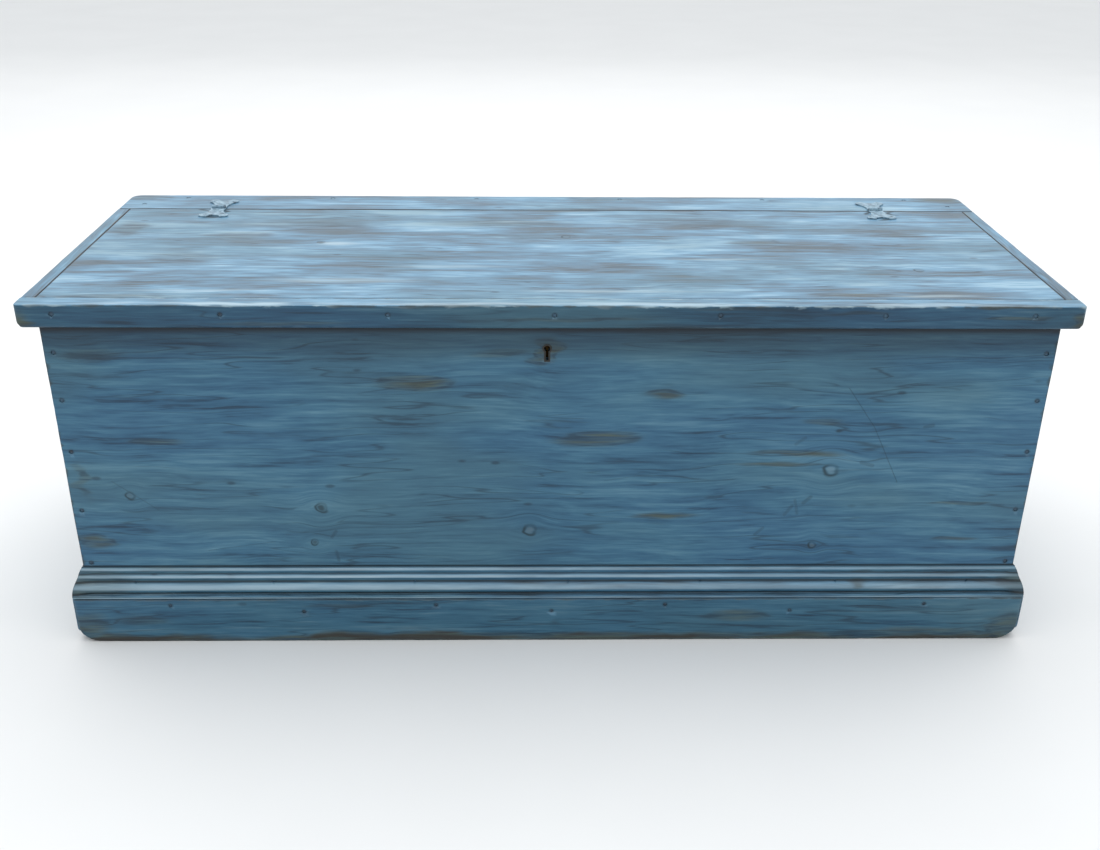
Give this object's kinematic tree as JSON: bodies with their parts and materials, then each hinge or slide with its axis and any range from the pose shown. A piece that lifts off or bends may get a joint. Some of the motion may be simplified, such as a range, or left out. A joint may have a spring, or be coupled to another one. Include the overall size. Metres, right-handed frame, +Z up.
{
  "type": "wooden blanket chest",
  "caption": "Long low blanket chest of nailed pine boards in worn blue paint, with a flat edged lid hinged to a fixed back rail, a moulded plinth and a box lock.",
  "frame": {"origin": "on the floor under the middle of the chest", "axes": "+Z up, the front with the keyhole faces -Y, +X is to the right of someone facing the front"},
  "size_m": [1.16, 0.448, 0.4424],
  "materials": {
    "painted_pine": "old blue paint, rubbed through along the grain and at the edges, waxed",
    "bare_pine": "unfinished old pine, dry and darkened",
    "nail_iron": "dark oxidised iron under remains of paint",
    "hinge_iron": "iron painted over with the lid, rust at the knuckles",
    "lock_brass": "tarnished brass",
    "lock_iron": "dark oxidised iron"
  },
  "bodies": {
    "carcass": {"front_board": "painted_pine", "back_board_upper": "bare_pine", "back_board_lower": "bare_pine", "end_board_left": "painted_pine", "end_board_right": "painted_pine", "bottom_board_1": "bare_pine", "bottom_board_2": "bare_pine", "bottom_board_3": "bare_pine", "bottom_board_4": "bare_pine", "bottom_board_5": "bare_pine", "bottom_board_6": "bare_pine", "bottom_board_7": "bare_pine", "plinth_front": "painted_pine", "plinth_left": "painted_pine", "plinth_right": "painted_pine", "moulding_front": "painted_pine", "moulding_left": "painted_pine", "moulding_right": "painted_pine", "hinge_rail": "painted_pine", "front_nails": "nail_iron", "back_nails": "nail_iron", "bottom_nails": "nail_iron", "plinth_nails": "nail_iron", "moulding_nails": "nail_iron", "rail_nails": "nail_iron", "escutcheon": "lock_brass", "lock_plate": "lock_brass", "lock_case": "lock_iron", "lock_spring": "lock_iron", "lock_drill_pin": "lock_iron", "lock_screws": "lock_iron", "hinge_leaf_rail_left": "hinge_iron", "hinge_leaf_rail_right": "hinge_iron", "hinge_pin_left": "hinge_iron", "hinge_pin_right": "hinge_iron", "hinge_screws_rail": "hinge_iron"},
    "lid": {"lid_board": "painted_pine", "lid_edging_front": "painted_pine", "lid_edging_left": "painted_pine", "lid_edging_right": "painted_pine", "lid_nails": "nail_iron", "hinge_leaf_lid_left": "hinge_iron", "hinge_leaf_lid_right": "hinge_iron", "hinge_screws_lid": "hinge_iron", "link_plate": "lock_brass", "link_plate_screws": "lock_iron"},
    "lock_bolt": {"lock_bolt": "lock_brass"}
  },
  "joints": [
    {"name": "lid_hinge", "type": "hinge", "parent": "carcass", "child": "lid", "pos_m": [0, 0.1535, 0.4397], "axis": [-1, 0, 0], "range_deg": [0, 105]},
    {"name": "lock_throw", "type": "slide", "parent": "carcass", "child": "lock_bolt", "axis": [1, 0, 0], "range_m": [0, 0.008]}
  ]
}
